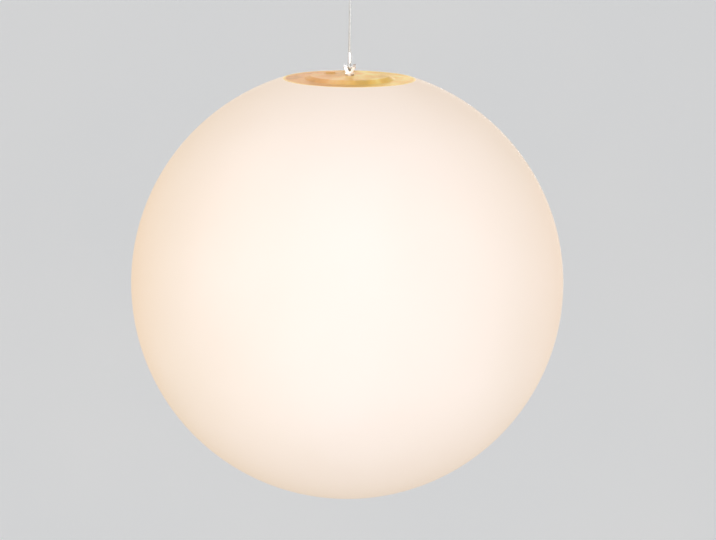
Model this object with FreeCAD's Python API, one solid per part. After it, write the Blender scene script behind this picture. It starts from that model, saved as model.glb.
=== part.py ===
"""Hanging garden globe light, in millimetres.

A blown opal globe hangs by a bayonet ring from a round golden cap. A forked stud in the cap carries a thin
wire rope with a crimped eye at each end, and the upper eye hangs in a small snap hook. Under the cap, a
tubular housing holds the cells, the control board and the lamps.

The origin is the seat of the snap hook's bow, which hangs on whatever carries the light, and +Z is up.
Lamp parts are drawn at heights above the globe's centre and lifted into place when they are written.
"""
import FreeCAD, Part
import math
import os

os.makedirs("parts", exist_ok=True)
Vec = FreeCAD.Vector
UP = Vec(0, 0, 1)
ACROSS = Vec(1, 0, 0)
BACK = Vec(0, 1, 0)
HERE = Vec(0, 0, 0)
TURN = 360.0

# globe
GLOBE_R = 150.0
WALL = 2.5
INNER_SIDES = 36        # the hidden inner wall is in flat facets: this many round it,
INNER_BANDS = 16        # and this many from the bottom to the neck
EDGE_GAP = 0.3          # slit between the cap's rim and the globe
SEAT_DEPTH = 3.5        # rebate that the cap's flange and its gasket drop into
NECK_IN = 42.0          # inner radius of the globe's neck
NECK_BOTTOM = 128.0
REBATE_OUT = 48.0       # outer radius of the wall under the rebate

# cap
CAP_R = 45.2
RIM = math.sqrt(GLOBE_R**2 - CAP_R**2)  # the cap's edge lies on the globe's sphere
FLANGE = 2.4
BOSS_RISE = 2.2
BOSS_R = 27.0
BOSS_FOOT_R = 31.0
SKIRT_R = 37.2
SKIRT_WALL = 2.0
SKIRT_DEPTH = 10.0
LUG_R = 39.0
LUG_H = 3.0
LUG_SPAN = 30.0         # degrees
LUG_TOP = 135.4
HUB_R = 5.5
HUB_BOTTOM = 137.5

# bayonet ring in the neck
RING_IN = 39.5
LEDGE_IN = 37.6
LEDGE_H = 2.0
LEDGE_SPAN = 50.0       # degrees
STOP_SPAN = 3.0         # degrees
STOP_GAP = 1.0          # degrees between a lug and its stop
GASKET_H = 1.0
GASKET_W = 2.4

# fits
PLAY = 0.3              # free gap between parts that move past each other
CLEAR = 0.1             # radial room of a screw, a stud or a loose pin in its hole
RUN_FIT = 0.06          # radial clearance of a turning fit

# forked stud that the rope is pinned to
PIN_H = 151.2           # height of the pin above the globe's centre
PIN_R = 1.1
PIN_HALF = 4.15
FORK_TOP = 153.0
FORK_TOP_HALF = 4.4
FORK_FOOT_HALF = 1.9
FORK_DEPTH = 4.6
SLOT_TOP_HALF = 2.35
SLOT_FOOT_HALF = 1.25
SLOT_FOOT = 148.0
COLLAR_R = 3.0
COLLAR_H = 1.2
STUD_R = 1.5
STUD_BOTTOM = 131.8
WASHER_R = 4.0
WASHER_H = 0.6
NUT_ACROSS = 5.5
NUT_SIDES = 6
NUT_H = 2.6
NUT_CROWN_R = 2.5
NUT_CROWN_H = 1.2

# wire rope and its crimped eyes
ROPE_R = 0.9
ROPE_RUN = 50.0
STRAND_Y = 1.15         # each rope's distance from the crimp's middle
FERRULE_L = 7.4
FERRULE_R = 1.45
CRIMPS = 2
CRIMP_R = 1.0
CRIMP_BITE = 0.3
TAIL = 1.3
EYE_REACH = 2.6         # from the pin to the lower crimp

# flat snap hook
HOOK_HALF = 2.0         # half the width and half the thickness of its bar
HOOK_CHAMFER = 1.1
BOW_R = 8.0
TOE_R = 6.0
HOOK_CENTRES = 22.0
TONGUE = 0.8            # half the thickness of the bar's thinned ends
FORK_SLOT = 1.1         # half the width of the gate's slots
GATE_R = 1.9
GATE_PIVOT_UP = 2.2
GATE_PIN_R = 0.8
PIVOT_ROOM = 2.4
NOSE_DOWN = 3.6
GATE_TOP_GAP = 0.3
RIVET_HEAD_R = 1.4
RIVET_HEAD_H = 0.4

# upper eye, round the hook's toe
UPPER_EYE_R = 3.8       # radius of the rope's centre line
UPPER_EYE_DROP = 10.5

# housing under the cap
HOUSING_R = 26.5
HOUSING_WALL = 1.8
HOUSING_FOOT = 55.0
HOUSING_FLANGE_R = 33.0
HOUSING_FLANGE_H = 2.0
HOUSING_TOP = 133.4
RIBS = 6
RIB_T = 1.6
RIB_FOOT = 68.0
RIB_REACH = 31.5
HOUSING_POST_AT = 30.0  # radius of the three screw posts
HOUSING_POST_R = 3.0
HOUSING_POST_TURN = 30.0
SCREW_R = 1.25
SCREW_HOLE = 1.6
SCREW_HEAD_R = 2.7
SCREW_HEAD_H = 1.8
SCREW_L = 6.0
TRIO = 3

# control board, which rests on the housing's top
BOARD_R = 26.4
BOARD_T = 1.6
BOARD_HOLE_R = 6.2
CONTROLLER = (7.0, 7.0, 1.0)
CONTROLLER_AT = (10.0, -5.0)
CHARGER = (5.0, 4.0, 1.5)
CHARGER_AT = (-6.0, -12.0)
COIL = (6.0, 6.0, 2.8)
COIL_AT = (11.0, 9.0)
RESISTOR = (3.0, 1.6, 1.2)
RESISTOR_AT = (-11.0, -7.0)

# push button and charging port in the cap
CONTROL_AT = 17.0
BUTTON_ANGLE = 90.0
BUTTON_R = 4.0
BUTTON_GAP = 0.3
BUTTON_STEM_R = 1.4
BUTTON_FLANGE_R = 5.0
BUTTON_FLANGE_H = 0.6
TRAVEL = 0.6
SWITCH_SIDE = 6.0
SWITCH_H = 3.5
PORT_ANGLE = 140.0
PORT_HOLE_R = 3.3
PLUG_HEAD_R = 4.6
PLUG_HEAD_H = 1.0
PLUG_STEM_R = 3.0
PLUG_STEM_L = 4.2
PLUG_TAB_L = 6.4
PLUG_TAB_H = 0.9
SOCKET_SIDE = 8.0
SOCKET_H = 3.0
SOCKET_BORE_R = 2.8
SOCKET_PIN_R = 0.7

# cells and their cradle
CELL_R = 9.2
CELL_L = 65.0
CELL_AT = 10.75
CELL_TURN = 90.0
CELL_BOTTOM = 63.5
STRIP_T = 0.3
STRIP_W = 6.0
CRADLE_R = 21.3
CRADLE_T = 2.0
WEB_T = 3.0
WEB_IN = 14.5
SPINE_R = 1.3

# lamp end
PLATE_T = 3.0
LED_BOARD_R = 18.8
LED_BOARD_T = 1.6
LED_SIDE = 2.8
LED_H = 0.8
LED_RINGS = ((8, 14.5), (4, 6.0))

# flat two-core leads
LEAD_W = 2.6
LEAD_T = 1.2
LEAD_BEND = 1.0
LED_LEAD_AT = 16.5
LED_LEAD_OUT = 23.3
LED_LEAD_TURN = 58.6
LEAD_SLOT = 3.6
CELL_LEAD_AT = -9.0
CELL_LEAD_STEP = 4.0

# heights that follow from these
BOSS_TOP = RIM + BOSS_RISE
BOARD_TOP = HOUSING_TOP + BOARD_T
FLANGE_UNDER = RIM - FLANGE
SEAT = RIM - SEAT_DEPTH
LEDGE_BOTTOM = LUG_TOP + PLAY
BOW_Z = HOOK_HALF - BOW_R
TOE_Z = BOW_Z - HOOK_CENTRES
HOOK_BAR = TOE_Z - TOE_R
UPPER_EYE_Z = HOOK_BAR + HOOK_HALF + PLAY + ROPE_R - UPPER_EYE_R
UPPER_CRIMP_TOP = UPPER_EYE_Z - UPPER_EYE_DROP
ROPE_TOP = UPPER_CRIMP_TOP - FERRULE_L
ROPE_BOTTOM = ROPE_TOP - ROPE_RUN
LOWER_CRIMP_BOTTOM = ROPE_BOTTOM - FERRULE_L
PIN_Z = LOWER_CRIMP_BOTTOM - EYE_REACH
GLOBE_Z = PIN_Z - PIN_H


def write(name, *shapes):
    """One file for a sub-part, from one solid or a group of separate ones."""
    shape = shapes[0] if len(shapes) == 1 else Part.makeCompound(list(shapes))
    shape.exportStep(f"parts/{name}.step")


def write_lamp_part(name, *shapes):
    """As write, for shapes drawn at heights above the globe's centre."""
    write(name, *[shape.translated(Vec(0, 0, GLOBE_Z)) for shape in shapes])


def rod(radius, low, high, x=0.0, y=0.0):
    return Part.makeCylinder(radius, high - low, Vec(x, y, low), UP)


def tube(outer, inner, low, high):
    return rod(outer, low, high).cut(rod(inner, low, high))


def block(width, depth, height, x, y, low):
    """An upright box centred on x, y."""
    return Part.makeBox(width, depth, height, Vec(x - width / 2, y - depth / 2, low))


def polar(radius, degrees):
    angle = math.radians(degrees)
    return radius * math.cos(angle), radius * math.sin(angle)


def trio(turn):
    return [turn + k * TURN / TRIO for k in range(TRIO)]


def half_section(*steps):
    """A face in the XZ plane. A step is a point (r, z), or a pair of points: one on an arc, and its end."""
    points = [step if isinstance(step[0], (int, float)) else step[1] for step in steps]
    edges = []
    for k, step in enumerate(steps):
        start = Vec(points[k - 1][0], 0, points[k - 1][1])
        end = Vec(points[k][0], 0, points[k][1])
        if step is points[k]:
            edges.append(Part.LineSegment(start, end).toShape())
        else:
            edges.append(Part.Arc(start, Vec(step[0][0], 0, step[0][1]), end).toShape())
    return Part.Face(Part.Wire(edges))


def turned(*steps):
    return half_section(*steps).revolve(HERE, UP, TURN)


def sector(inner, outer, low, high, middle, span):
    """Part of a ring, span degrees wide."""
    face = half_section((inner, low), (outer, low), (outer, high), (inner, high))
    return face.revolve(HERE, UP, span).rotated(HERE, UP, middle - span / 2)


def on_sphere(radius, r):
    return math.sqrt(radius**2 - r**2)


# globe and bayonet ring

def faceted_core(radius, top_r):
    """A solid of flat faces with its corners on a sphere, cut off level where it is top_r wide."""
    last = math.degrees(math.acos(top_r / radius))
    rows = []
    for band in range(1, INNER_BANDS + 1):
        r, z = polar(radius, -90 + (last + 90) * band / INNER_BANDS)
        ring = [polar(r, side * TURN / INNER_SIDES) for side in range(INNER_SIDES + 1)]
        rows.append([Vec(x, y, z) for x, y in ring])
    pole = Vec(0, 0, -radius)
    faces = [Part.Face(Part.makePolygon([pole, a, b, pole])) for a, b in zip(rows[0], rows[0][1:])]
    for lower, upper in zip(rows, rows[1:]):
        for a, b, c, d in zip(lower, lower[1:], upper[1:], upper):
            faces.append(Part.Face(Part.makePolygon([a, b, c, d, a])))
    faces.append(Part.Face(Part.makePolygon(rows[-1])))
    return Part.Solid(Part.Shell(faces))


def globe_shell():
    mouth = CAP_R + EDGE_GAP
    neck_out = NECK_IN + WALL
    flank = GLOBE_R * math.cos(math.pi / 4)
    under_rebate = SEAT - WALL
    ball = turned(
        (0, -GLOBE_R),
        ((flank, -flank), (mouth, on_sphere(GLOBE_R, mouth))),
        (mouth, SEAT),
        (0, SEAT),
    )
    hollow = faceted_core(GLOBE_R - WALL, REBATE_OUT)
    neck = tube(2 * neck_out, neck_out, NECK_BOTTOM, GLOBE_R)
    rebate = rod(REBATE_OUT, under_rebate, GLOBE_R)
    hollow = hollow.cut(rebate).cut(rod(neck_out, NECK_BOTTOM, GLOBE_R))
    return ball.cut(hollow).cut(rod(NECK_IN, NECK_BOTTOM, GLOBE_R)).removeSplitter()


def neck_ring():
    ring = tube(NECK_IN, RING_IN, NECK_BOTTOM, SEAT - PLAY / 2)
    stop_at = -LUG_SPAN / 2 - STOP_SPAN / 2 - STOP_GAP
    for middle in trio(0):
        ledge = sector(LEDGE_IN, RING_IN + PLAY, LEDGE_BOTTOM, LEDGE_BOTTOM + LEDGE_H, middle, LEDGE_SPAN)
        stop = sector(LEDGE_IN, RING_IN + PLAY, LUG_TOP - LUG_H, LEDGE_BOTTOM, middle + stop_at, STOP_SPAN)
        ring = ring.fuse([ledge, stop])
    return ring.removeSplitter()


# cap

def top_cap():
    skirt_in = SKIRT_R - SKIRT_WALL
    cap = turned(
        (0, HUB_BOTTOM),
        (HUB_R, HUB_BOTTOM),
        (HUB_R, FLANGE_UNDER),
        (skirt_in, FLANGE_UNDER),
        (skirt_in, FLANGE_UNDER - SKIRT_DEPTH),
        (SKIRT_R, FLANGE_UNDER - SKIRT_DEPTH),
        (SKIRT_R, FLANGE_UNDER),
        (CAP_R, FLANGE_UNDER),
        (CAP_R, RIM),
        (BOSS_FOOT_R, RIM),
        (BOSS_R, BOSS_TOP),
        (0, BOSS_TOP),
    )
    lug_in = SKIRT_R - SKIRT_WALL / 2
    lugs = [sector(lug_in, LUG_R, LUG_TOP - LUG_H, LUG_TOP, middle, LUG_SPAN) for middle in trio(0)]
    posts, pilots = [], []
    for angle in trio(HOUSING_POST_TURN):
        x, y = polar(HOUSING_POST_AT, angle)
        posts.append(rod(HOUSING_POST_R, HOUSING_TOP, FLANGE_UNDER + FLANGE / 2, x, y))
        pilots.append(rod(SCREW_R + CLEAR, HOUSING_TOP, HOUSING_TOP + SCREW_L, x, y))
    cap = cap.fuse(lugs + posts).cut(pilots)
    bx, by = polar(CONTROL_AT, BUTTON_ANGLE)
    px, py = polar(CONTROL_AT, PORT_ANGLE)
    holes = [
        rod(STUD_R + CLEAR, HUB_BOTTOM, BOSS_TOP),
        rod(BUTTON_R + BUTTON_GAP, FLANGE_UNDER, BOSS_TOP, bx, by),
        rod(PORT_HOLE_R, FLANGE_UNDER, BOSS_TOP, px, py),
        rod(PLUG_HEAD_R + BUTTON_GAP, BOSS_TOP - PLUG_HEAD_H, BOSS_TOP, px, py),
    ]
    return cap.cut(holes).removeSplitter()


def cap_gasket():
    inner = CAP_R - GASKET_W - BUTTON_GAP
    return tube(inner + GASKET_W, inner, FLANGE_UNDER - GASKET_H, FLANGE_UNDER)


# forked stud, pin and fixings

def hanger_yoke():
    foot = BOSS_TOP + COLLAR_H
    front = half_section(
        (-FORK_FOOT_HALF, foot - COLLAR_H / 2),
        (FORK_FOOT_HALF, foot - COLLAR_H / 2),
        (FORK_TOP_HALF, FORK_TOP),
        (SLOT_TOP_HALF, FORK_TOP),
        (SLOT_FOOT_HALF, SLOT_FOOT),
        ((0, SLOT_FOOT - SLOT_FOOT_HALF / 2), (-SLOT_FOOT_HALF, SLOT_FOOT)),
        (-SLOT_TOP_HALF, FORK_TOP),
        (-FORK_TOP_HALF, FORK_TOP),
    )
    fork = front.translated(Vec(0, -FORK_DEPTH / 2, 0)).extrude(Vec(0, FORK_DEPTH, 0))
    half = FORK_DEPTH / 2
    shoulder = FORK_TOP - half
    width = Vec(2 * FORK_TOP_HALF, 0, 0)
    start = -FORK_TOP_HALF
    side = Part.Face(Part.Wire([
        Part.LineSegment(Vec(start, -half, BOSS_TOP), Vec(start, half, BOSS_TOP)).toShape(),
        Part.LineSegment(Vec(start, half, BOSS_TOP), Vec(start, half, shoulder)).toShape(),
        Part.Arc(Vec(start, half, shoulder), Vec(start, 0, FORK_TOP), Vec(start, -half, shoulder)).toShape(),
        Part.LineSegment(Vec(start, -half, shoulder), Vec(start, -half, BOSS_TOP)).toShape(),
    ]))
    fork = fork.common(side.extrude(width))
    stud = rod(STUD_R, STUD_BOTTOM, BOSS_TOP + COLLAR_H / 2)
    collar = rod(COLLAR_R, BOSS_TOP, foot)
    bore = Part.makeCylinder(PIN_R + RUN_FIT, 4 * FORK_TOP_HALF, Vec(-2 * FORK_TOP_HALF, 0, PIN_H), ACROSS)
    return fork.fuse([stud, collar]).cut(bore).removeSplitter()


def clevis_pin():
    return Part.makeCylinder(PIN_R, 2 * PIN_HALF, Vec(-PIN_HALF, 0, PIN_H), ACROSS)


def stud_washer():
    return tube(WASHER_R, STUD_R + CLEAR, HUB_BOTTOM - WASHER_H, HUB_BOTTOM)


def lock_nut():
    top = HUB_BOTTOM - WASHER_H
    corner = NUT_ACROSS / (2 * math.cos(math.pi / NUT_SIDES))
    corners = [polar(corner, k * TURN / NUT_SIDES) for k in range(NUT_SIDES + 1)]
    hexagon = Part.Face(Part.makePolygon([Vec(x, y, top - NUT_H) for x, y in corners]))
    crown = rod(NUT_CROWN_R, top - NUT_H - NUT_CROWN_H, top - NUT_H)
    nut = hexagon.extrude(Vec(0, 0, NUT_H)).fuse(crown)
    return nut.cut(rod(STUD_R + CLEAR / 2, top - NUT_H - NUT_CROWN_H, top))


# rope, eyes and crimps

def rope_eye(radius, centre_z, drop, side):
    """A rope bent round a circle in the YZ plane, whose two ends run to the crimp on the given side, 1 above
    the circle and -1 below it. The crimp's face is drop away from the circle's centre."""
    reach = math.hypot(STRAND_Y, drop)
    touch = math.degrees(math.atan2(drop, STRAND_Y) - math.acos(radius / reach))
    leg = math.sqrt(reach**2 - radius**2) + ROPE_R * math.tan(math.radians(touch))
    y, z = polar(radius, touch)
    start = Vec(0, y, z)
    section = Part.Face(Part.Wire([Part.makeCircle(ROPE_R, start, Vec(0, -z, y))]))
    bend = section.revolve(HERE, ACROSS, -(TURN / 2 + 2 * touch))
    along = Vec(0, -z, y).normalize()
    legs = [Part.makeCylinder(ROPE_R, leg, start, along)]
    legs.append(legs[0].mirror(HERE, BACK))
    eye = bend.fuse(legs).removeSplitter()
    crimp = block(FERRULE_L, FERRULE_L, FERRULE_L, 0, 0, drop)
    eye = eye.cut(crimp)
    if side < 0:
        eye = eye.mirror(HERE, UP)
    return eye.translated(Vec(0, 0, centre_z))


def rope_tail(start_z, length):
    low = min(start_z, start_z + length)
    return rod(ROPE_R, low, low + abs(length), 0, STRAND_Y)


def ferrule(low):
    """An oval sleeve pressed round two ropes, with the marks of the crimping jaws."""
    at = STRAND_Y
    ends = [rod(FERRULE_R, low, low + FERRULE_L, 0, at), rod(FERRULE_R, low, low + FERRULE_L, 0, -at)]
    sleeve = ends[0].fuse([ends[1], block(2 * FERRULE_R, 2 * at, FERRULE_L, 0, 0, low)]).removeSplitter()
    length = 2 * (at + FERRULE_R)
    for k in range(CRIMPS):
        z = low + FERRULE_L * (k + 1) / (CRIMPS + 1)
        for sign in (-1, 1):
            x = sign * (FERRULE_R + CRIMP_R - CRIMP_BITE)
            sleeve = sleeve.cut(Part.makeCylinder(CRIMP_R, length, Vec(x, -length / 2, z), BACK))
    return sleeve


# snap hook

def hook_lines(out=0.0):
    """Both ends of the straight run on the gate's side, moved out from the bar's middle."""
    lean = math.degrees(math.asin((TOE_R - BOW_R) / HOOK_CENTRES))
    bx, bz = polar(BOW_R + out, lean)
    tx, tz = polar(TOE_R + out, lean)
    return Vec(-bx, 0, BOW_Z + bz), Vec(-tx, 0, TOE_Z + tz)


def mirrored(point):
    return Vec(-point.x, point.y, point.z)


def pear(out):
    """A closed face between the hook's two round ends, moved out from the bar's middle."""
    upper, lower = hook_lines(out)
    return Part.Face(Part.Wire([
        Part.Arc(upper, Vec(0, 0, BOW_Z + BOW_R + out), mirrored(upper)).toShape(),
        Part.LineSegment(mirrored(upper), mirrored(lower)).toShape(),
        Part.Arc(mirrored(lower), Vec(0, 0, TOE_Z - TOE_R - out), lower).toShape(),
        Part.LineSegment(lower, upper).toShape(),
    ]))


def gate_points():
    """The gate's pivot, the bar's shoulder above it, the end of its nose, and the way up the gate."""
    shoulder, lower = hook_lines()
    along = (shoulder - lower).normalize()
    return lower + along * GATE_PIVOT_UP, shoulder, shoulder - along * NOSE_DOWN, along


def gate_slab(start, end, low_y, high_y):
    """A box across the bar from one point of the gate's line to another."""
    width = (end - start).normalize().cross(BACK) * (2 * HOOK_HALF)
    corners = [start - width, start + width, end + width, end - width]
    face = Part.Face(Part.makePolygon([*corners, corners[0]]))
    return face.translated(BACK * low_y).extrude(BACK * (high_y - low_y))


def snap_hook():
    """A pear of flat bar, open on the gate's side, with a thinned tongue at each end of the opening."""
    pivot, shoulder, nose, along = gate_points()
    pull = BACK * (2 * HOOK_HALF)
    outer = pear(HOOK_HALF).translated(BACK * -HOOK_HALF).extrude(pull)
    hook = outer.cut(pear(-HOOK_HALF).translated(BACK * -HOOK_HALF).extrude(pull))
    long_edges = [edge for edge in hook.Edges if edge.BoundBox.YLength < HOOK_HALF]
    hook = hook.makeChamfer(HOOK_CHAMFER, long_edges)
    room = pivot + along * (GATE_PIN_R + TONGUE)
    low = pivot - along * PIVOT_ROOM
    cuts = [gate_slab(room, nose, -HOOK_HALF, HOOK_HALF)]
    for side in (-1, 1):
        near, far = sorted((side * TONGUE, side * HOOK_HALF))
        cuts.append(gate_slab(low, room, near, far))
        cuts.append(gate_slab(nose, shoulder, near, far))
    start = pivot - BACK * 2 * HOOK_HALF
    cuts.append(Part.makeCylinder(GATE_PIN_R + RUN_FIT / 2, 4 * HOOK_HALF, start, BACK))
    return hook.cut(cuts)


def snap_gate():
    """A round gate, forked at the foot round the hook's tongue and at the top round its nose."""
    pivot, shoulder, nose, along = gate_points()
    length = (shoulder - pivot).Length - GATE_TOP_GAP
    barrel = Part.makeCylinder(GATE_R, length + GATE_R, pivot - along * GATE_R, along)
    knuckle = Part.makeCylinder(GATE_R, 2 * GATE_R, pivot - BACK * GATE_R, BACK)
    gate = Part.makeCylinder(GATE_R, length, pivot, along).fuse(knuckle).common(barrel)
    foot_end = pivot + along * (PIVOT_ROOM + PLAY)
    slots = [
        gate_slab(pivot - along * PIVOT_ROOM, foot_end, -FORK_SLOT, FORK_SLOT),
        gate_slab(nose - along * PLAY, shoulder, -FORK_SLOT, FORK_SLOT),
    ]
    bore = Part.makeCylinder(GATE_PIN_R + RUN_FIT, 4 * GATE_R, pivot - BACK * 2 * GATE_R, BACK)
    return gate.cut(slots + [bore])


def gate_rivet():
    pivot = gate_points()[0]
    half = GATE_R + CLEAR / 2
    shank = Part.makeCylinder(GATE_PIN_R, 2 * half, pivot - BACK * half, BACK)
    heads = [Part.makeCylinder(RIVET_HEAD_R, RIVET_HEAD_H, pivot + BACK * half, BACK),
             Part.makeCylinder(RIVET_HEAD_R, RIVET_HEAD_H, pivot - BACK * (half + RIVET_HEAD_H), BACK)]
    return shank.fuse(heads).removeSplitter()


# housing and what it holds

def module_housing():
    under = HOUSING_TOP - HOUSING_FLANGE_H
    wall = tube(HOUSING_R, HOUSING_R - HOUSING_WALL, HOUSING_FOOT, HOUSING_TOP)
    flange = tube(HOUSING_FLANGE_R, HOUSING_R - HOUSING_WALL, under, HOUSING_TOP)
    root = HOUSING_R - HOUSING_WALL / 2
    rib_face = half_section(
        (root, RIB_FOOT),
        (HOUSING_R, RIB_FOOT),
        (RIB_REACH, under),
        (root, under),
    )
    rib = rib_face.translated(Vec(0, -RIB_T / 2, 0)).extrude(Vec(0, RIB_T, 0))
    ribs = [rib.rotated(HERE, UP, k * TURN / RIBS) for k in range(RIBS)]
    places = [polar(HOUSING_POST_AT, angle) for angle in trio(HOUSING_POST_TURN)]
    holes = [rod(SCREW_HOLE, under, HOUSING_TOP, x, y) for x, y in places]
    return wall.fuse([flange] + ribs).cut(holes).removeSplitter()


def housing_screws():
    """Pan-head screws that come up through the housing's flange into the cap's posts."""
    seat = HOUSING_TOP - HOUSING_FLANGE_H
    screws = []
    for angle in trio(HOUSING_POST_TURN):
        x, y = polar(HOUSING_POST_AT, angle)
        shank = rod(SCREW_R, seat, HOUSING_TOP + SCREW_L - PLAY, x, y)
        screws.append(shank.fuse(rod(SCREW_HEAD_R, seat - SCREW_HEAD_H, seat, x, y)))
    return screws


def control_board():
    return tube(BOARD_R, BOARD_HOLE_R, HOUSING_TOP, BOARD_TOP)


def board_chips():
    return [
        block(*CONTROLLER, *CONTROLLER_AT, BOARD_TOP),
        block(*CHARGER, *CHARGER_AT, BOARD_TOP),
        block(*COIL, *COIL_AT, BOARD_TOP),
        block(*RESISTOR, *RESISTOR_AT, BOARD_TOP),
    ]


def push_button():
    """A button with a flange under the cap that keeps it in, and a stem down to the switch."""
    x, y = polar(CONTROL_AT, BUTTON_ANGLE)
    flange_top = FLANGE_UNDER - CLEAR
    flange_low = flange_top - BUTTON_FLANGE_H
    body = rod(BUTTON_R, flange_low, BOSS_TOP - CLEAR, x, y)
    flange = rod(BUTTON_FLANGE_R, flange_low, flange_top, x, y)
    stem = rod(BUTTON_STEM_R, BOARD_TOP + SWITCH_H + TRAVEL + CLEAR, flange_low, x, y)
    return body.fuse([flange, stem]).removeSplitter()


def tact_switch():
    x, y = polar(CONTROL_AT, BUTTON_ANGLE)
    return block(SWITCH_SIDE, SWITCH_SIDE, SWITCH_H, x, y, BOARD_TOP)


def charge_socket():
    x, y = polar(CONTROL_AT, PORT_ANGLE)
    case = block(SOCKET_SIDE, SOCKET_SIDE, SOCKET_H, x, y, BOARD_TOP)
    bore = rod(SOCKET_BORE_R, BOARD_TOP + SOCKET_H / 2, BOARD_TOP + SOCKET_H, x, y)
    return case.cut(bore).fuse(rod(SOCKET_PIN_R, BOARD_TOP, BOARD_TOP + SOCKET_H - PLAY, x, y))


def port_plug():
    """A soft plug, its head flush in the cap, with a low ridge to pull it by."""
    x, y = polar(CONTROL_AT, PORT_ANGLE)
    top = BOSS_TOP
    seat = top - PLUG_HEAD_H + CLEAR
    head = rod(PLUG_HEAD_R, seat, top, x, y)
    stem = rod(PLUG_STEM_R, seat - PLUG_STEM_L, seat, x, y)
    ridge = block(PLUG_TAB_L, PLUG_TAB_H, PLUG_TAB_H, x, y, top)
    return head.fuse([stem, ridge]).removeSplitter()


def cell_places():
    return [polar(CELL_AT, angle) for angle in trio(CELL_TURN)]


def battery_cells():
    return [rod(CELL_R, CELL_BOTTOM, CELL_BOTTOM + CELL_L, x, y) for x, y in cell_places()]


def cell_strips():
    """Nickel strips that join the cells' ends, as three-armed stars."""
    stars = []
    for low in (CELL_BOTTOM - STRIP_T, CELL_BOTTOM + CELL_L):
        arm = block(CELL_AT + STRIP_W / 2, STRIP_W, STRIP_T, (CELL_AT + STRIP_W / 2) / 2, 0, low)
        arms = [arm.rotated(HERE, UP, angle) for angle in trio(CELL_TURN)]
        stars.append(arms[0].fuse(arms[1:]).cut(rod(SPINE_R + CLEAR, low, low + STRIP_T)).removeSplitter())
    return stars


def cell_cradle():
    bottom = CELL_BOTTOM - STRIP_T
    top = CELL_BOTTOM + CELL_L + STRIP_T
    plates = [rod(CRADLE_R, bottom - CRADLE_T, bottom), rod(CRADLE_R, top, top + CRADLE_T)]
    web = block(CRADLE_R - WEB_IN, WEB_T, top - bottom, (CRADLE_R + WEB_IN) / 2, 0, bottom)
    webs = [web.rotated(HERE, UP, angle) for angle in trio(CELL_TURN + TURN / (2 * TRIO))]
    foot = block(WEB_T, WEB_T, bottom - HOUSING_FOOT, WEB_IN, 0, HOUSING_FOOT)
    feet = [foot.rotated(HERE, UP, angle) for angle in trio(CELL_TURN)]
    spine = rod(SPINE_R, bottom, top)
    return plates[0].fuse([plates[1], spine] + webs + feet).removeSplitter()


def lead(points):
    """A flat two-core lead in the XZ plane through the points, with round bends. It starts upright."""
    edges, start = [], points[0]
    for before, corner, after in zip(points, points[1:], points[2:]):
        a = (before - corner).normalize()
        b = (after - corner).normalize()
        half = a.getAngle(b) / 2
        back = LEAD_BEND / math.tan(half)
        middle = corner + (a + b).normalize() * (LEAD_BEND / math.sin(half) - LEAD_BEND)
        edges.append(Part.LineSegment(start, corner + a * back).toShape())
        edges.append(Part.Arc(corner + a * back, middle, corner + b * back).toShape())
        start = corner + b * back
    edges.append(Part.LineSegment(start, points[-1]).toShape())
    thick = ACROSS * (LEAD_T / 2)
    wide = BACK * (LEAD_W / 2)
    at = points[0]
    corners = [at + thick + wide, at - thick + wide, at - thick - wide, at + thick - wide]
    ring = Part.makePolygon([*corners, corners[0]])
    return Part.Wire(edges).makePipeShell([ring], True, True)


def led_lead():
    """From the control board, down beside the cells, and through the plate to the lamps."""
    return lead([
        Vec(LED_LEAD_OUT, 0, HOUSING_TOP),
        Vec(LED_LEAD_OUT, 0, LED_LEAD_TURN),
        Vec(LED_LEAD_AT, 0, LED_LEAD_TURN - LEAD_BEND),
        Vec(LED_LEAD_AT, 0, HOUSING_FOOT - PLATE_T),
    ])


def cell_lead():
    """A short slack lead from the cells to the control board."""
    low = CELL_BOTTOM + CELL_L + STRIP_T + CRADLE_T
    x = CELL_LEAD_AT
    middle = (low + HOUSING_TOP) / 2
    return lead([Vec(x, 0, low), Vec(x, 0, middle), Vec(x - CELL_LEAD_STEP, 0, middle),
                 Vec(x - CELL_LEAD_STEP, 0, HOUSING_TOP)])


def heat_plate():
    plate = rod(HOUSING_R, HOUSING_FOOT - PLATE_T, HOUSING_FOOT)
    return plate.cut(block(LEAD_SLOT, LEAD_SLOT, PLATE_T, LED_LEAD_AT, 0, HOUSING_FOOT - PLATE_T))


def led_board():
    top = HOUSING_FOOT - PLATE_T
    return rod(LED_BOARD_R, top - LED_BOARD_T, top)


def leds():
    low = HOUSING_FOOT - PLATE_T - LED_BOARD_T - LED_H
    chips = []
    for count, radius in LED_RINGS:
        for k in range(count):
            x, y = polar(radius, k * TURN / count)
            chips.append(block(LED_SIDE, LED_SIDE, LED_H, x, y, low))
    return chips


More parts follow.
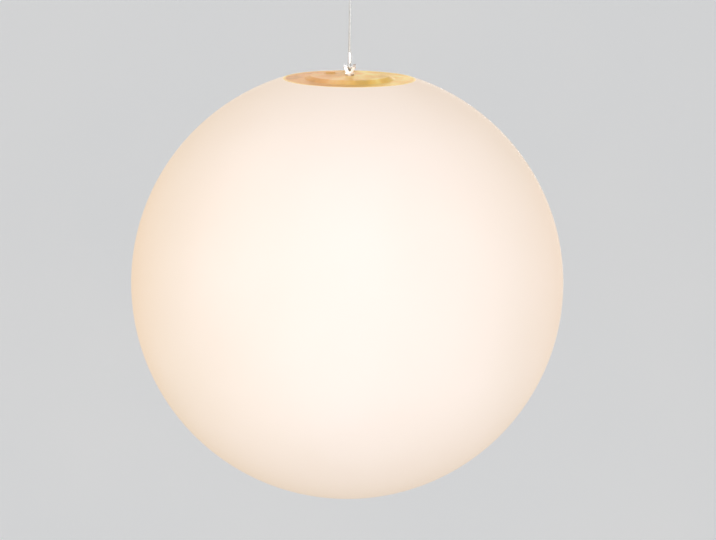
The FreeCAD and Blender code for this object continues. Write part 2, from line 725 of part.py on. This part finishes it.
def build():
    write_lamp_part("globe_shell", globe_shell())
    write_lamp_part("neck_ring", neck_ring())
    write_lamp_part("top_cap", top_cap())
    write_lamp_part("cap_gasket", cap_gasket())
    write_lamp_part("hanger_yoke", hanger_yoke())
    write_lamp_part("clevis_pin", clevis_pin())
    write_lamp_part("stud_washer", stud_washer())
    write_lamp_part("lock_nut", lock_nut())
    write_lamp_part("module_housing", module_housing())
    write_lamp_part("housing_screws", *housing_screws())
    write_lamp_part("control_board", control_board())
    write_lamp_part("board_chips", *board_chips())
    write_lamp_part("push_button", push_button())
    write_lamp_part("tact_switch", tact_switch())
    write_lamp_part("charge_socket", charge_socket())
    write_lamp_part("port_plug", port_plug())
    write_lamp_part("battery_cells", *battery_cells())
    write_lamp_part("cell_strips", *cell_strips())
    write_lamp_part("cell_cradle", cell_cradle())
    write_lamp_part("cell_lead", cell_lead())
    write_lamp_part("led_lead", led_lead())
    write_lamp_part("heat_plate", heat_plate())
    write_lamp_part("led_board", led_board())
    write_lamp_part("leds", *leds())
    write("rope_eye_lower", rope_eye(PIN_R + RUN_FIT + ROPE_R, PIN_Z, EYE_REACH, 1),
          rope_tail(ROPE_BOTTOM, TAIL))
    write("ferrule_lower", ferrule(LOWER_CRIMP_BOTTOM))
    write("hanging_rope", rod(ROPE_R, ROPE_BOTTOM, ROPE_TOP, 0, -STRAND_Y))
    write("ferrule_upper", ferrule(ROPE_TOP))
    write("rope_eye_upper", rope_eye(UPPER_EYE_R, UPPER_EYE_Z, UPPER_EYE_DROP, -1),
          rope_tail(ROPE_TOP, -TAIL))
    write("snap_hook", snap_hook())
    write("snap_gate", snap_gate())
    write("gate_rivet", gate_rivet())
    pivot = gate_points()[0]
    print(f"globe centre at {GLOBE_Z:.2f}, clevis pin at {PIN_Z:.2f}, hook bar at {HOOK_BAR:.2f}")
    print(f"gate pivot at {pivot.x:.3f}, {pivot.z:.3f}")


build()
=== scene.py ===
"""Visual model of a hanging garden globe light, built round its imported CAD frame. Lengths are in metres."""
import math

import bpy
from mathutils import Matrix, Vector


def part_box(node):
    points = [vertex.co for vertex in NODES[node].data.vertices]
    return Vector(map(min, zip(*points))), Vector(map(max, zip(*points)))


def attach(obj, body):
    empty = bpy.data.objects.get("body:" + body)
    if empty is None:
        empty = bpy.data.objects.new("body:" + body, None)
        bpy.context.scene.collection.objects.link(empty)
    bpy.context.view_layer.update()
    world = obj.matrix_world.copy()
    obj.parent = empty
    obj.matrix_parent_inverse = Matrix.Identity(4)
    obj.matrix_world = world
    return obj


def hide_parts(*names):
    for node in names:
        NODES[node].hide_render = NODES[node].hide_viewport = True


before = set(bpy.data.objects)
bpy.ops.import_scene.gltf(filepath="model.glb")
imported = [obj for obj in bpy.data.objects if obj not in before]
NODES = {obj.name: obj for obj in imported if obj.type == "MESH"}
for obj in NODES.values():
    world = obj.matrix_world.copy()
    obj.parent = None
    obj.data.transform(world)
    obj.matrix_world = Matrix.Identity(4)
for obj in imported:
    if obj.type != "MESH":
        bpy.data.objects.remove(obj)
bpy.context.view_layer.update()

# Places read from the frame
GLOBE_LOW, GLOBE_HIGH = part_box("globe_shell")
GLOBE_R = (GLOBE_HIGH[0] - GLOBE_LOW[0]) / 2
GLOBE_AT = Vector((0.0, 0.0, GLOBE_LOW[2] + GLOBE_R))
CAP_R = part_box("top_cap")[1][0]
ROPE_LOW, ROPE_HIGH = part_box("hanging_rope")
ROPE_R = (ROPE_HIGH[0] - ROPE_LOW[0]) / 2
ROPE_Y = (ROPE_LOW[1] + ROPE_HIGH[1]) / 2

# The photograph's view. The frame is 716 by 540 pixels.
FRAME_W = 716
FRAME_H = 540
SENSOR = 36.0             # mm
VIEW_DISTANCE = 1.8
VIEW_ELEVATION = 11.9     # degrees above the globe's middle
VIEW_ROLL = 0.6           # degrees
GLOBE_PX = 216.0          # radius of the globe's outline
GLOBE_AT_PX = (347.3, 282.8)
CLIP_NEAR = 0.05
CLIP_FAR = 50.0

# Studio
FLOOR_DROP = 2.3          # from the globe's underside to the floor
FLOOR_SIZE = 30.0         # from the middle to each side and to the front
FLOOR_BACK = 3.2          # where the backdrop starts to bend up
BACKDROP_H = 7.0
BACKDROP_BEND = 1.6       # radius of the bend
BEND_STEPS = 24
PAPER_LIFT = 0.48         # how much paler the camera and reflections see the paper
WORLD_LIGHT = 0.32        # strength of the light from all round
WORLD_PALE = 0.65         # strength that the camera and reflections see
FULL_SPREAD = 180.0

# Each lamp's name, place, diameter, watts and spread in degrees
LAMPS = (
    ("key", (0.65, -2.55, -0.4), 2.2, 7.7, 80.0),
    ("fill", (-1.0, -2.5, 0.1), 2.0, 4.3, 80.0),
    ("top", (-0.3, -0.5, 2.0), 2.2, 9.0, FULL_SPREAD),
    ("back", (0.3, 2.6, -0.4), 1.6, 5.6, 70.0),
)

# The globe's own light from its underside to its top, with painted shade that makes it dimmer and warmer
# towards the top and the underside, and a painted shade tint from left to right that warms the sides
GLOW_WITH_PAINTED_SHADE_UP = (
    (0.0, (0.615, 0.468, 0.308)),
    (0.35, (0.655, 0.519, 0.358)),
    (0.75, (0.636, 0.490, 0.318)),
    (1.0, (0.600, 0.456, 0.294)),
)
PAINTED_SHADE_ACROSS = (
    (0.0, (1.08, 0.98, 0.82)),
    (0.12, (1.02, 0.98, 0.88)),
    (0.5, (1.0, 1.0, 1.0)),
    (0.88, (1.0, 0.99, 0.985)),
    (1.0, (1.06, 1.01, 0.98)),
)

# Golden plastic
CAP_PAINTED_GLOW = 0.46           # painted light: emission that stands in for the lamps shining through the cap
CAP_SHADED_TAN_X = -0.016        # painted shade: darker pinkish tan to the left of this, and gold to the right of the next
CAP_GOLD_X = 0.012
CAP_LIT_RIM_IN = 0.0020       # painted light: the pale lit rim starts this far inside the outline, and is full at the next
CAP_LIT_RIM_OUT = 0.0004

FORK_HALF = 0.0016        # the fork's steel turns from plain to a painted warm reflection within this of its middle
METAL_SMOOTHER = 0.08     # how far a metal's roughness falls where its marks are dark
METAL_ROUGHER = 0.10      # and how far it rises where they are light

# Wire rope
STRANDS = 6
STRAND_R = ROPE_R / 3
STRAND_LAY = 0.0105       # length of one turn of a strand
STRAND_SIDES = 6
STEPS_PER_TURN = 14
EYE_CORNERS = 6           # control points round an eye's bend
CURVE_STEPS = 24          # points that Blender cuts between two control points

# The Mix node's colour sockets, by number, because several of its sockets share a name
MIX_FACTOR = 0
MIX_FIRST = 6
MIX_SECOND = 7
MIX_RESULT = 2


# ---------------------------------------------------------------- node helpers

def new_material(name):
    material = bpy.data.materials.new(name)
    material.use_nodes = True
    tree = material.node_tree
    shader = tree.nodes["Principled BSDF"]
    return material, tree, shader


def add(tree, kind, **values):
    """A node with its properties set, and its inputs where a value's name is an input's."""
    node = tree.nodes.new(kind)
    for key, value in values.items():
        if key in node.inputs:
            node.inputs[key].default_value = value
        else:
            setattr(node, key, value)
    return node


def link(tree, source, target):
    tree.links.new(source, target)


def noise(tree, scale, detail=4.0, roughness=0.5, stretch=(1, 1, 1)):
    """Noise in the object's own space. The scale is in cycles per metre."""
    coords = add(tree, "ShaderNodeTexCoord")
    mapping = add(tree, "ShaderNodeMapping", Scale=stretch)
    texture = add(tree, "ShaderNodeTexNoise", Scale=scale, Detail=detail, Roughness=roughness)
    link(tree, coords.outputs["Object"], mapping.inputs["Vector"])
    link(tree, mapping.outputs["Vector"], texture.inputs["Vector"])
    return texture.outputs["Fac"]


def ramp(tree, value, stops):
    """A colour ramp with (position, colour) stops."""
    node = add(tree, "ShaderNodeValToRGB")
    elements = node.color_ramp.elements
    while len(elements) < len(stops):
        elements.new(0.5)
    for element, (position, colour) in zip(elements, stops):
        element.position = position
        element.color = (*colour, 1.0)
    link(tree, value, node.inputs["Fac"])
    return node.outputs["Color"]


def between(tree, value, low, high):
    """0 at low and 1 at high."""
    span = add(tree, "ShaderNodeMapRange")
    span.inputs["From Min"].default_value = low
    span.inputs["From Max"].default_value = high
    link(tree, value, span.inputs["Value"])
    return span.outputs["Result"]


def along_axis(tree, axis, low, high):
    """0 at low and 1 at high along one of the object's axes, X, Y or Z."""
    coords = add(tree, "ShaderNodeTexCoord")
    split = add(tree, "ShaderNodeSeparateXYZ")
    link(tree, coords.outputs["Object"], split.inputs["Vector"])
    return between(tree, split.outputs[axis], low, high)


def from_axis(tree):
    """The distance from the object's upright axis."""
    coords = add(tree, "ShaderNodeTexCoord")
    flat = add(tree, "ShaderNodeVectorMath", operation="MULTIPLY")
    flat.inputs[1].default_value = (1.0, 1.0, 0.0)
    reach = add(tree, "ShaderNodeVectorMath", operation="LENGTH")
    link(tree, coords.outputs["Object"], flat.inputs[0])
    link(tree, flat.outputs["Vector"], reach.inputs[0])
    return reach.outputs["Value"]


def mix(tree, factor, first, second, blend_type="MIX"):
    """first where factor is 0 and second where it is 1. Each is a value or a socket."""
    node = add(tree, "ShaderNodeMix", data_type="RGBA", blend_type=blend_type)
    for value, number in ((factor, MIX_FACTOR), (first, MIX_FIRST), (second, MIX_SECOND)):
        socket = node.inputs[number]
        if isinstance(value, bpy.types.NodeSocket):
            link(tree, value, socket)
        elif isinstance(value, tuple):
            socket.default_value = (*value, 1.0)
        else:
            socket.default_value = value
    return node.outputs[MIX_RESULT]


def multiply(tree, first, second):
    return mix(tree, 1.0, first, second, blend_type="MULTIPLY")


def bump(tree, shader, height, strength, distance=0.0001):
    node = add(tree, "ShaderNodeBump", Strength=strength, Distance=distance)
    link(tree, height, node.inputs["Height"])
    link(tree, node.outputs["Normal"], shader.inputs["Normal"])


def from_srgb(red, green, blue):
    """Linear colour from 0 to 255 display values."""
    out = []
    for value in (red, green, blue):
        v = value / 255
        out.append(v / 12.92 if v <= 0.04045 else ((v + 0.055) / 1.055) ** 2.4)
    return tuple(out)


def pale_to_eye(tree):
    """1 for rays from the camera and for reflections, 0 for the light that falls on things."""
    path = add(tree, "ShaderNodeLightPath")
    both = add(tree, "ShaderNodeMath", operation="MAXIMUM")
    link(tree, path.outputs["Is Camera Ray"], both.inputs[0])
    link(tree, path.outputs["Is Glossy Ray"], both.inputs[1])
    return both.outputs[0]


# ---------------------------------------------------------------- materials

def opal_material():
    """Milky plastic lit from within, with painted shade in its light: warmer towards the neck and the sides,
    with a faint cloudiness.
    """
    material, tree, shader = new_material("opal")
    height = along_axis(tree, "Z", GLOBE_AT.z - GLOBE_R, GLOBE_AT.z + GLOBE_R)
    across = along_axis(tree, "X", -GLOBE_R, GLOBE_R)
    # painted shade: the light is dimmer and warmer towards the top, the underside and the sides
    glow_and_painted_shade = multiply(tree, ramp(tree, height, GLOW_WITH_PAINTED_SHADE_UP), ramp(tree, across, PAINTED_SHADE_ACROSS))
    clouds = noise(tree, scale=14.0, detail=3.0)
    cloud = ramp(tree, clouds, [(0.35, (0.98, 0.97, 0.95)), (0.65, (1.0, 1.0, 1.0))])
    link(tree, multiply(tree, glow_and_painted_shade, cloud), shader.inputs["Emission Color"])
    shader.inputs["Emission Strength"].default_value = 1.0
    shifts = noise(tree, scale=9.0, detail=2.0)
    base = ramp(tree, shifts, [(0.3, (0.47, 0.50, 0.60)), (0.7, (0.50, 0.53, 0.64))])
    link(tree, base, shader.inputs["Base Color"])
    shader.inputs["Roughness"].default_value = 0.75
    shader.inputs["Specular IOR Level"].default_value = 0.08
    bump(tree, shader, noise(tree, scale=900.0, detail=2.0), strength=0.01, distance=0.0002)
    return material


def cap_material():
    """Golden moulded plastic, mottled, with painted light: it glows as if the lamps shone through it a
    little, its left side is darker and pinker with painted shade, and its rim is paler with painted light.
    """
    material, tree, shader = new_material("golden_cap")
    blotches = noise(tree, scale=60.0, detail=3.0, roughness=0.6, stretch=(1, 0.6, 1))
    shaded_tan = ramp(tree, blotches, [
        (0.34, from_srgb(198, 146, 92)),
        (0.50, from_srgb(216, 162, 102)),
        (0.66, from_srgb(226, 176, 122)),
    ])
    gold = ramp(tree, blotches, [
        (0.34, from_srgb(202, 162, 82)),
        (0.50, from_srgb(214, 174, 88)),
        (0.66, from_srgb(232, 196, 118)),
    ])
    # painted shade: darker and pinker to the left, gold to the right
    body = mix(tree, along_axis(tree, "X", CAP_SHADED_TAN_X, CAP_GOLD_X), shaded_tan, gold)
    # painted light: a paler rim round the cap's outline
    lit_rim = between(tree, from_axis(tree), CAP_R - CAP_LIT_RIM_IN, CAP_R - CAP_LIT_RIM_OUT)
    colour = mix(tree, lit_rim, body, from_srgb(236, 202, 138))
    link(tree, colour, shader.inputs["Base Color"])
    # painted light: the cap emits its own colour as if lit through
    link(tree, colour, shader.inputs["Emission Color"])
    shader.inputs["Emission Strength"].default_value = CAP_PAINTED_GLOW
    shader.inputs["Roughness"].default_value = 0.5
    shader.inputs["Specular IOR Level"].default_value = 0.35
    bump(tree, shader, noise(tree, scale=1400.0, detail=2.0), strength=0.05)
    return material


def fork_material():
    """Bright steel, plain on one side of the fork; the other side is darker and warmer with a painted
    reflection of the cap's light.
    """
    material, tree, shader = new_material("fork_steel")
    marks = noise(tree, scale=260.0, detail=5.0, roughness=0.6)
    bright = ramp(tree, marks, [(0.3, (0.80, 0.79, 0.79)), (0.7, (0.93, 0.92, 0.92))])
    painted_warm_reflection = ramp(tree, marks, [(0.3, (0.50, 0.41, 0.35)), (0.7, (0.64, 0.54, 0.47))])
    # painted reflection: one side of the fork darker and warmer
    across = along_axis(tree, "X", -FORK_HALF, FORK_HALF)
    link(tree, mix(tree, across, bright, painted_warm_reflection), shader.inputs["Base Color"])
    shader.inputs["Metallic"].default_value = 1.0
    shader.inputs["Roughness"].default_value = 0.28
    bump(tree, shader, marks, strength=0.1)
    return material


def metal_material(name, dark, light, roughness, scale, stretch=(1, 1, 1)):
    """Bare metal with fine marks in its colour, its roughness and its surface."""
    material, tree, shader = new_material(name)
    marks = noise(tree, scale, detail=5.0, roughness=0.6, stretch=stretch)
    link(tree, ramp(tree, marks, [(0.3, dark), (0.7, light)]), shader.inputs["Base Color"])
    shader.inputs["Metallic"].default_value = 1.0
    rough = add(tree, "ShaderNodeMapRange")
    rough.inputs["To Min"].default_value = roughness - METAL_SMOOTHER
    rough.inputs["To Max"].default_value = roughness + METAL_ROUGHER
    link(tree, marks, rough.inputs["Value"])
    link(tree, rough.outputs["Result"], shader.inputs["Roughness"])
    bump(tree, shader, marks, strength=0.1)
    return material


def plastic_material(name, dark, light, roughness, painted_glow=0.0):
    """Moulded plastic or rubber with a fine grain and slight shifts of tone. It may be given a little painted
    light, emission that stands in for the lamps shining through it.
    """
    material, tree, shader = new_material(name)
    colour = ramp(tree, noise(tree, scale=60.0), [(0.3, dark), (0.7, light)])
    link(tree, colour, shader.inputs["Base Color"])
    if painted_glow:
        link(tree, colour, shader.inputs["Emission Color"])
        shader.inputs["Emission Strength"].default_value = painted_glow
    shader.inputs["Roughness"].default_value = roughness
    bump(tree, shader, noise(tree, scale=1600.0, detail=2.0), strength=0.08)
    return material


def paint(material, *names):
    """Gives CAD nodes a material in their own slots."""
    for name in names:
        for slot in NODES[name].material_slots:
            slot.material = material


def paint_nodes():
    """Gives each CAD node that stays in view, or inside the light, its material."""
    paint(opal_material(), "globe_shell")
    paint(cap_material(), "top_cap")
    # the button and the seal get the cap's painted light
    paint(plastic_material("button", from_srgb(198, 152, 88), from_srgb(214, 170, 104), 0.4, CAP_PAINTED_GLOW),
          "push_button")
    paint(plastic_material("soft_seal", from_srgb(192, 146, 88), from_srgb(206, 162, 102), 0.6, CAP_PAINTED_GLOW),
          "port_plug", "cap_gasket")
    paint(fork_material(), "hanger_yoke")
    paint(metal_material("pin_steel", (0.62, 0.61, 0.60), (0.80, 0.79, 0.78), 0.26, 260.0),
          "clevis_pin", "gate_rivet")
    paint(metal_material("hook_steel", (0.40, 0.40, 0.40), (0.54, 0.54, 0.53), 0.36, 220.0),
          "snap_hook", "snap_gate")
    paint(metal_material("crimp_metal", (0.78, 0.78, 0.78), (0.92, 0.92, 0.91), 0.38, 380.0),
          "ferrule_lower", "ferrule_upper")
    paint(metal_material("fixings", (0.48, 0.48, 0.50), (0.62, 0.62, 0.63), 0.36, 420.0),
          "stud_washer", "lock_nut", "housing_screws", "cell_strips")
    paint(plastic_material("white_plastic", (0.72, 0.71, 0.68), (0.80, 0.79, 0.76), 0.5),
          "neck_ring", "module_housing", "cell_cradle")
    paint(metal_material("plate", (0.62, 0.62, 0.63), (0.76, 0.76, 0.77), 0.4, 120.0, (1, 14, 1)),
          "heat_plate")
    paint(plastic_material("white_board", (0.78, 0.78, 0.76), (0.84, 0.84, 0.82), 0.35), "led_board")
    paint(plastic_material("lamp_chip", (0.86, 0.66, 0.20), (0.94, 0.78, 0.32), 0.25), "leds")
    paint(plastic_material("green_board", (0.02, 0.09, 0.04), (0.03, 0.13, 0.06), 0.35), "control_board")
    paint(plastic_material("chip", (0.012, 0.012, 0.013), (0.022, 0.022, 0.024), 0.5),
          "board_chips", "tact_switch")
    paint(plastic_material("socket", (0.02, 0.02, 0.02), (0.035, 0.035, 0.035), 0.45), "charge_socket")
    paint(plastic_material("cell_wrap", (0.02, 0.11, 0.26), (0.03, 0.15, 0.33), 0.3), "battery_cells")
    paint(plastic_material("lead", (0.26, 0.02, 0.015), (0.36, 0.03, 0.02), 0.5), "cell_lead", "led_lead")


# ---------------------------------------------------------------- wire rope

def spline_points(route):
    """Points along the smooth curve that the route's control points make."""
    curve = bpy.data.curves.new("route", "CURVE")
    curve.dimensions = "3D"
    curve.resolution_u = CURVE_STEPS
    spline = curve.splines.new("NURBS")
    spline.points.add(len(route) - 1)
    for point, place in zip(spline.points, route):
        point.co = (*place, 1.0)
    spline.order_u = 3
    spline.use_endpoint_u = True
    holder = bpy.data.objects.new("route", curve)
    mesh = bpy.data.meshes.new_from_object(holder)
    points = [vertex.co.copy() for vertex in mesh.vertices]
    bpy.data.meshes.remove(mesh)
    bpy.data.objects.remove(holder)
    bpy.data.curves.remove(curve)
    return points


def resample(points, step):
    """Points about a step apart along a line of points, its ends kept."""
    lengths = [0.0]
    for a, b in zip(points, points[1:]):
        lengths.append(lengths[-1] + (b - a).length)
    count = max(2, round(lengths[-1] / step))
    out, k = [], 0
    for n in range(count + 1):
        target = lengths[-1] * n / count
        while k < len(points) - 2 and lengths[k + 1] < target:
            k += 1
        part = (target - lengths[k]) / max(lengths[k + 1] - lengths[k], 1e-12)
        out.append(points[k].lerp(points[k + 1], min(part, 1.0)))
    return out


def carried_frames(path):
    """A point, a side and a second side at each step, turned no more than the path turns."""
    frames = []
    side = None
    for k, point in enumerate(path):
        along = (path[min(k + 1, len(path) - 1)] - path[max(k - 1, 0)]).normalized()
        if side is None:
            side = along.orthogonal()
        side = (side - along * side.dot(along)).normalized()
        frames.append((point, side, along.cross(side)))
    return frames


def ring_point(middle, side, other, angle, radius):
    """A point of the circle round middle that lies in the plane of side and other."""
    return middle + (side * math.cos(angle) + other * math.sin(angle)) * radius


def add_tube(vertices, faces, rings):
    """Adds a closed tube through rings of points."""
    start = len(vertices)
    sides = len(rings[0])
    for ring in rings:
        vertices.extend(ring)
    for k in range(len(rings) - 1):
        for n in range(sides):
            a = start + k * sides + n
            b = start + k * sides + (n + 1) % sides
            faces.append((a, b, b + sides, a + sides))
    faces.append(tuple(start + n for n in reversed(range(sides))))
    faces.append(tuple(start + (len(rings) - 1) * sides + n for n in range(sides)))


def add_strands(vertices, faces, points):
    """Adds a core along a line of points, and the strands that wind round it."""
    path = resample(points, STRAND_LAY / STEPS_PER_TURN)
    frames = carried_frames(path)
    step = sum((b - a).length for a, b in zip(path, path[1:])) / (len(path) - 1)
    twist = 2 * math.pi * step / STRAND_LAY
    for strand in range(STRANDS + 1):
        is_core = strand == STRANDS
        offset = 0.0 if is_core else ROPE_R - STRAND_R
        rings = []
        for k, (point, side, other) in enumerate(frames):
            turn = twist * k + 2 * math.pi * strand / STRANDS
            middle = ring_point(point, side, other, turn, offset)
            angles = [turn + 2 * math.pi * n / STRAND_SIDES for n in range(STRAND_SIDES)]
            rings.append([ring_point(middle, side, other, angle, STRAND_R) for angle in angles])
        add_tube(vertices, faces, rings)


def stranded(name, material, *lines):
    """A piece of stranded rope along each line of points."""
    vertices, faces = [], []
    for points in lines:
        add_strands(vertices, faces, points)
    mesh = bpy.data.meshes.new(name)
    mesh.from_pydata([tuple(v) for v in vertices], [], faces)
    mesh.update()
    for polygon in mesh.polygons:
        polygon.use_smooth = True
    mesh.materials.append(material)
    piece = bpy.data.objects.new(name, mesh)
    bpy.context.scene.collection.objects.link(piece)
    return piece


def eye_route(node, bend_z, crimp_z):
    """Control points from one side of a crimp's face, round the eye that ends at bend_z, and back."""
    start_y = abs(ROPE_Y)
    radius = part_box(node)[1][1] - ROPE_R
    way = 1 if crimp_z > bend_z else -1
    middle = bend_z + way * (ROPE_R + radius)
    drop = abs(crimp_z - middle)
    touch = math.atan2(drop, start_y) - math.acos(radius / math.hypot(start_y, drop))
    turn = (math.pi + 2 * touch) / EYE_CORNERS
    places = [(touch, radius)]
    for k in range(EYE_CORNERS):
        places.append((touch - turn * (k + 0.5), radius / math.cos(turn / 2)))
    places.append((math.pi - touch, radius))
    bend = []
    for angle, reach in places:
        bend.append((0.0, reach * math.cos(angle), middle + way * reach * math.sin(angle)))
    return [(0.0, start_y, crimp_z), *bend, (0.0, -start_y, crimp_z)]


def rope_eye(node, crimp, material):
    """A crimped eye, with the cut end that stands out of the crimp's far face."""
    low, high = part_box(node)
    crimp_low, crimp_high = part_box(crimp)
    if node == "rope_eye_lower":
        bend_z, near_z, far_z, tail_z = low[2], crimp_low[2], crimp_high[2], high[2]
    else:
        bend_z, near_z, far_z, tail_z = high[2], crimp_high[2], crimp_low[2], low[2]
    tail = [Vector((0.0, -ROPE_Y, far_z)), Vector((0.0, -ROPE_Y, tail_z))]
    eye = stranded(node + "_strands", material, spline_points(eye_route(node, bend_z, near_z)), tail)
    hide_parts(node)
    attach(eye, "rope")
    return eye


def hang_rope():
    """The taut run between the crimps, and the eye at each end."""
    steel = metal_material("rope_steel", (0.76, 0.76, 0.75), (0.95, 0.95, 0.94), 0.3, 500.0)
    route = [
        (0.0, ROPE_Y, ROPE_LOW[2]),
        (0.0, ROPE_Y, (ROPE_LOW[2] + ROPE_HIGH[2]) / 2),
        (0.0, ROPE_Y, ROPE_HIGH[2]),
    ]
    path = spline_points(route)
    rope = stranded("wire_rope", steel, path)
    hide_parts("hanging_rope")
    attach(rope, "rope")
    rope_eye("rope_eye_lower", "ferrule_lower", steel)
    upper_eye = rope_eye("rope_eye_upper", "ferrule_upper", steel)


# ---------------------------------------------------------------- stage

def backdrop_material():
    """Paper with faint fibres, that the camera and reflections see paler than it is lit."""
    material, tree, shader = new_material("backdrop_paper")
    fibres = noise(tree, scale=2.0, detail=3.0)
    paper = ramp(tree, fibres, [(0.3, (0.46, 0.465, 0.47)), (0.7, (0.48, 0.485, 0.49))])
    link(tree, paper, shader.inputs["Base Color"])
    lit = ramp(tree, fibres, [(0.3, (0.98, 0.99, 1.0)), (0.7, (1.0, 1.0, 1.0))])
    link(tree, lit, shader.inputs["Emission Color"])
    lift = add(tree, "ShaderNodeMath", operation="MULTIPLY")
    lift.inputs[1].default_value = PAPER_LIFT
    link(tree, pale_to_eye(tree), lift.inputs[0])
    link(tree, lift.outputs[0], shader.inputs["Emission Strength"])
    shader.inputs["Roughness"].default_value = 0.9
    return material


def backdrop():
    """A pale floor that curves up behind the light."""
    floor_z = GLOBE_LOW[2] - FLOOR_DROP
    profile = [(-FLOOR_SIZE, floor_z)]
    for k in range(BEND_STEPS + 1):
        angle = math.pi / 2 * k / BEND_STEPS
        profile.append((FLOOR_BACK + BACKDROP_BEND * math.sin(angle),
                        floor_z + BACKDROP_BEND * (1 - math.cos(angle))))
    profile.append((FLOOR_BACK + BACKDROP_BEND, floor_z + BACKDROP_H))
    vertices = [(x, y, z) for y, z in profile for x in (-FLOOR_SIZE, FLOOR_SIZE)]
    faces = [(2 * k, 2 * k + 1, 2 * k + 3, 2 * k + 2) for k in range(len(profile) - 1)]
    mesh = bpy.data.meshes.new("backdrop")
    mesh.from_pydata(vertices, [], faces)
    for polygon in mesh.polygons:
        polygon.use_smooth = True
    mesh.materials.append(backdrop_material())
    sweep = bpy.data.objects.new("backdrop", mesh)
    bpy.context.scene.collection.objects.link(sweep)


def area_light(name, place, size, power, spread):
    """A soft round light aimed at the globe, that the camera doesn't see."""
    data = bpy.data.lights.new(name, "AREA")
    data.shape = "DISK"
    data.size = size
    data.energy = power
    data.spread = math.radians(spread)
    lamp = bpy.data.objects.new(name, data)
    lamp.location = place
    lamp.visible_camera = False
    lamp.rotation_euler = (GLOBE_AT - Vector(place)).to_track_quat("-Z", "Y").to_euler()
    bpy.context.scene.collection.objects.link(lamp)


def lights():
    """Soft lamps round the globe, and a world that lights it a little from all sides."""
    world = bpy.data.worlds.new("studio")
    bpy.context.scene.world = world
    world.use_nodes = True
    tree = world.node_tree
    background = tree.nodes["Background"]
    background.inputs["Color"].default_value = (1.0, 1.0, 1.0, 1.0)
    strength = add(tree, "ShaderNodeMapRange")
    strength.inputs["To Min"].default_value = WORLD_LIGHT
    strength.inputs["To Max"].default_value = WORLD_PALE
    link(tree, pale_to_eye(tree), strength.inputs["Value"])
    link(tree, strength.outputs["Result"], background.inputs["Strength"])
    for lamp in LAMPS:
        area_light(*lamp)


def camera():
    """Sees the globe from the front, a little above its middle, where the photograph has it."""
    data = bpy.data.cameras.new("camera")
    view = bpy.data.objects.new("camera", data)
    bpy.context.scene.collection.objects.link(view)
    focal_px = GLOBE_PX * math.sqrt(VIEW_DISTANCE**2 - GLOBE_R**2) / GLOBE_R
    data.sensor_width = SENSOR
    data.lens = SENSOR * focal_px / FRAME_W
    tilt = math.radians(VIEW_ELEVATION)
    back = Vector((0.0, -math.cos(tilt), math.sin(tilt)))
    view.location = GLOBE_AT + back * VIEW_DISTANCE
    look = (-back).to_track_quat("-Z", "Y").to_matrix().to_4x4()
    across = (GLOBE_AT_PX[0] - FRAME_W / 2) / focal_px
    down = (GLOBE_AT_PX[1] - FRAME_H / 2) / focal_px
    roll = Matrix.Rotation(math.radians(VIEW_ROLL), 4, "Z")
    aim = Matrix.Rotation(math.atan(across), 4, "Y") @ Matrix.Rotation(math.atan(down), 4, "X")
    view.rotation_euler = (look @ roll @ aim).to_euler()
    data.clip_start = CLIP_NEAR
    data.clip_end = CLIP_FAR
    bpy.context.scene.camera = view


def main():
    camera()
    hang_rope()
    paint_nodes()
    backdrop()
    lights()
    bpy.context.scene.view_settings.view_transform = "Standard"


main()
